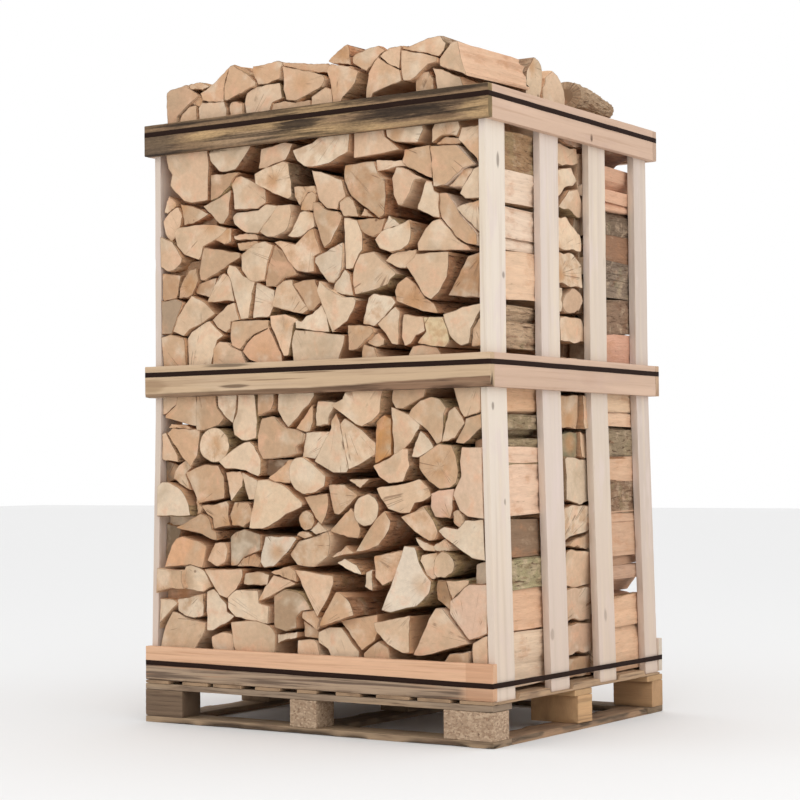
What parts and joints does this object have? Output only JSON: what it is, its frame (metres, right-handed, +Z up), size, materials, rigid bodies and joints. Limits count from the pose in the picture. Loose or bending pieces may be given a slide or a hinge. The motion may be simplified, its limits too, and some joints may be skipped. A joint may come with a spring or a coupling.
{
  "type": "pallet of firewood",
  "caption": "Strapped wooden crate on a pallet, filled above its rim with split firewood logs stacked in rows.",
  "frame": {"origin": "bottom centre of the whole load, on the floor under the pallet", "axes": "+X to the right and +Y to the back as seen from the front face of logs, +Z up"},
  "size_m": [1.2062, 1.0062, 1.937],
  "materials": {
    "pallet_wood": "rough sawn, weathered",
    "block_wood": "rough sawn",
    "rail_wood": "rough sawn",
    "weathered_wood": "rough sawn, weathered grey-green",
    "slat_wood": "sawn",
    "firewood": "split and sawn, dry",
    "bark": "bark",
    "strap_plastic": "smooth strapping"
  },
  "bodies": {
    "root": {"back_rail_bottom": "rail_wood", "back_rail_middle": "rail_wood", "back_rail_top": "rail_wood", "back_row": "firewood", "bark_log": "bark", "block_back_left": "block_wood", "block_back_middle": "block_wood", "block_back_right": "block_wood", "block_front_left": "block_wood", "block_front_middle": "block_wood", "block_front_right": "block_wood", "block_middle_left": "block_wood", "block_middle_middle": "block_wood", "block_middle_right": "block_wood", "bottom_board_back": "pallet_wood", "bottom_board_front": "pallet_wood", "bottom_board_left": "pallet_wood", "bottom_board_middle": "pallet_wood", "bottom_board_right": "pallet_wood", "cross_log_1": "firewood", "cross_log_2": "firewood", "deck_board_1": "pallet_wood", "deck_board_2": "pallet_wood", "deck_board_3": "pallet_wood", "deck_board_4": "pallet_wood", "deck_board_5": "pallet_wood", "deck_board_6": "pallet_wood", "deck_board_7": "pallet_wood", "deck_board_8": "pallet_wood", "deck_board_9": "pallet_wood", "front_rail_bottom": "rail_wood", "front_rail_middle": "rail_wood", "front_rail_top": "weathered_wood", "front_row": "firewood", "lead_board_back": "pallet_wood", "lead_board_front": "pallet_wood", "lead_board_middle": "pallet_wood", "left_rail_middle": "rail_wood", "left_rail_top": "rail_wood", "middle_row": "firewood", "right_rail_middle": "rail_wood", "right_rail_top": "rail_wood", "slat_left_1": "slat_wood", "slat_left_2": "slat_wood", "slat_left_3": "slat_wood", "slat_left_4": "slat_wood", "slat_right_1": "slat_wood", "slat_right_2": "slat_wood", "slat_right_3": "slat_wood", "slat_right_4": "slat_wood", "strap_bottom": "strap_plastic", "strap_middle": "strap_plastic", "strap_top": "strap_plastic", "top_log_1": "firewood", "top_log_2": "firewood", "top_log_3": "firewood", "top_log_4": "firewood", "top_log_5": "firewood", "top_log_6": "firewood", "top_log_7": "firewood"}
  },
  "joints": []
}
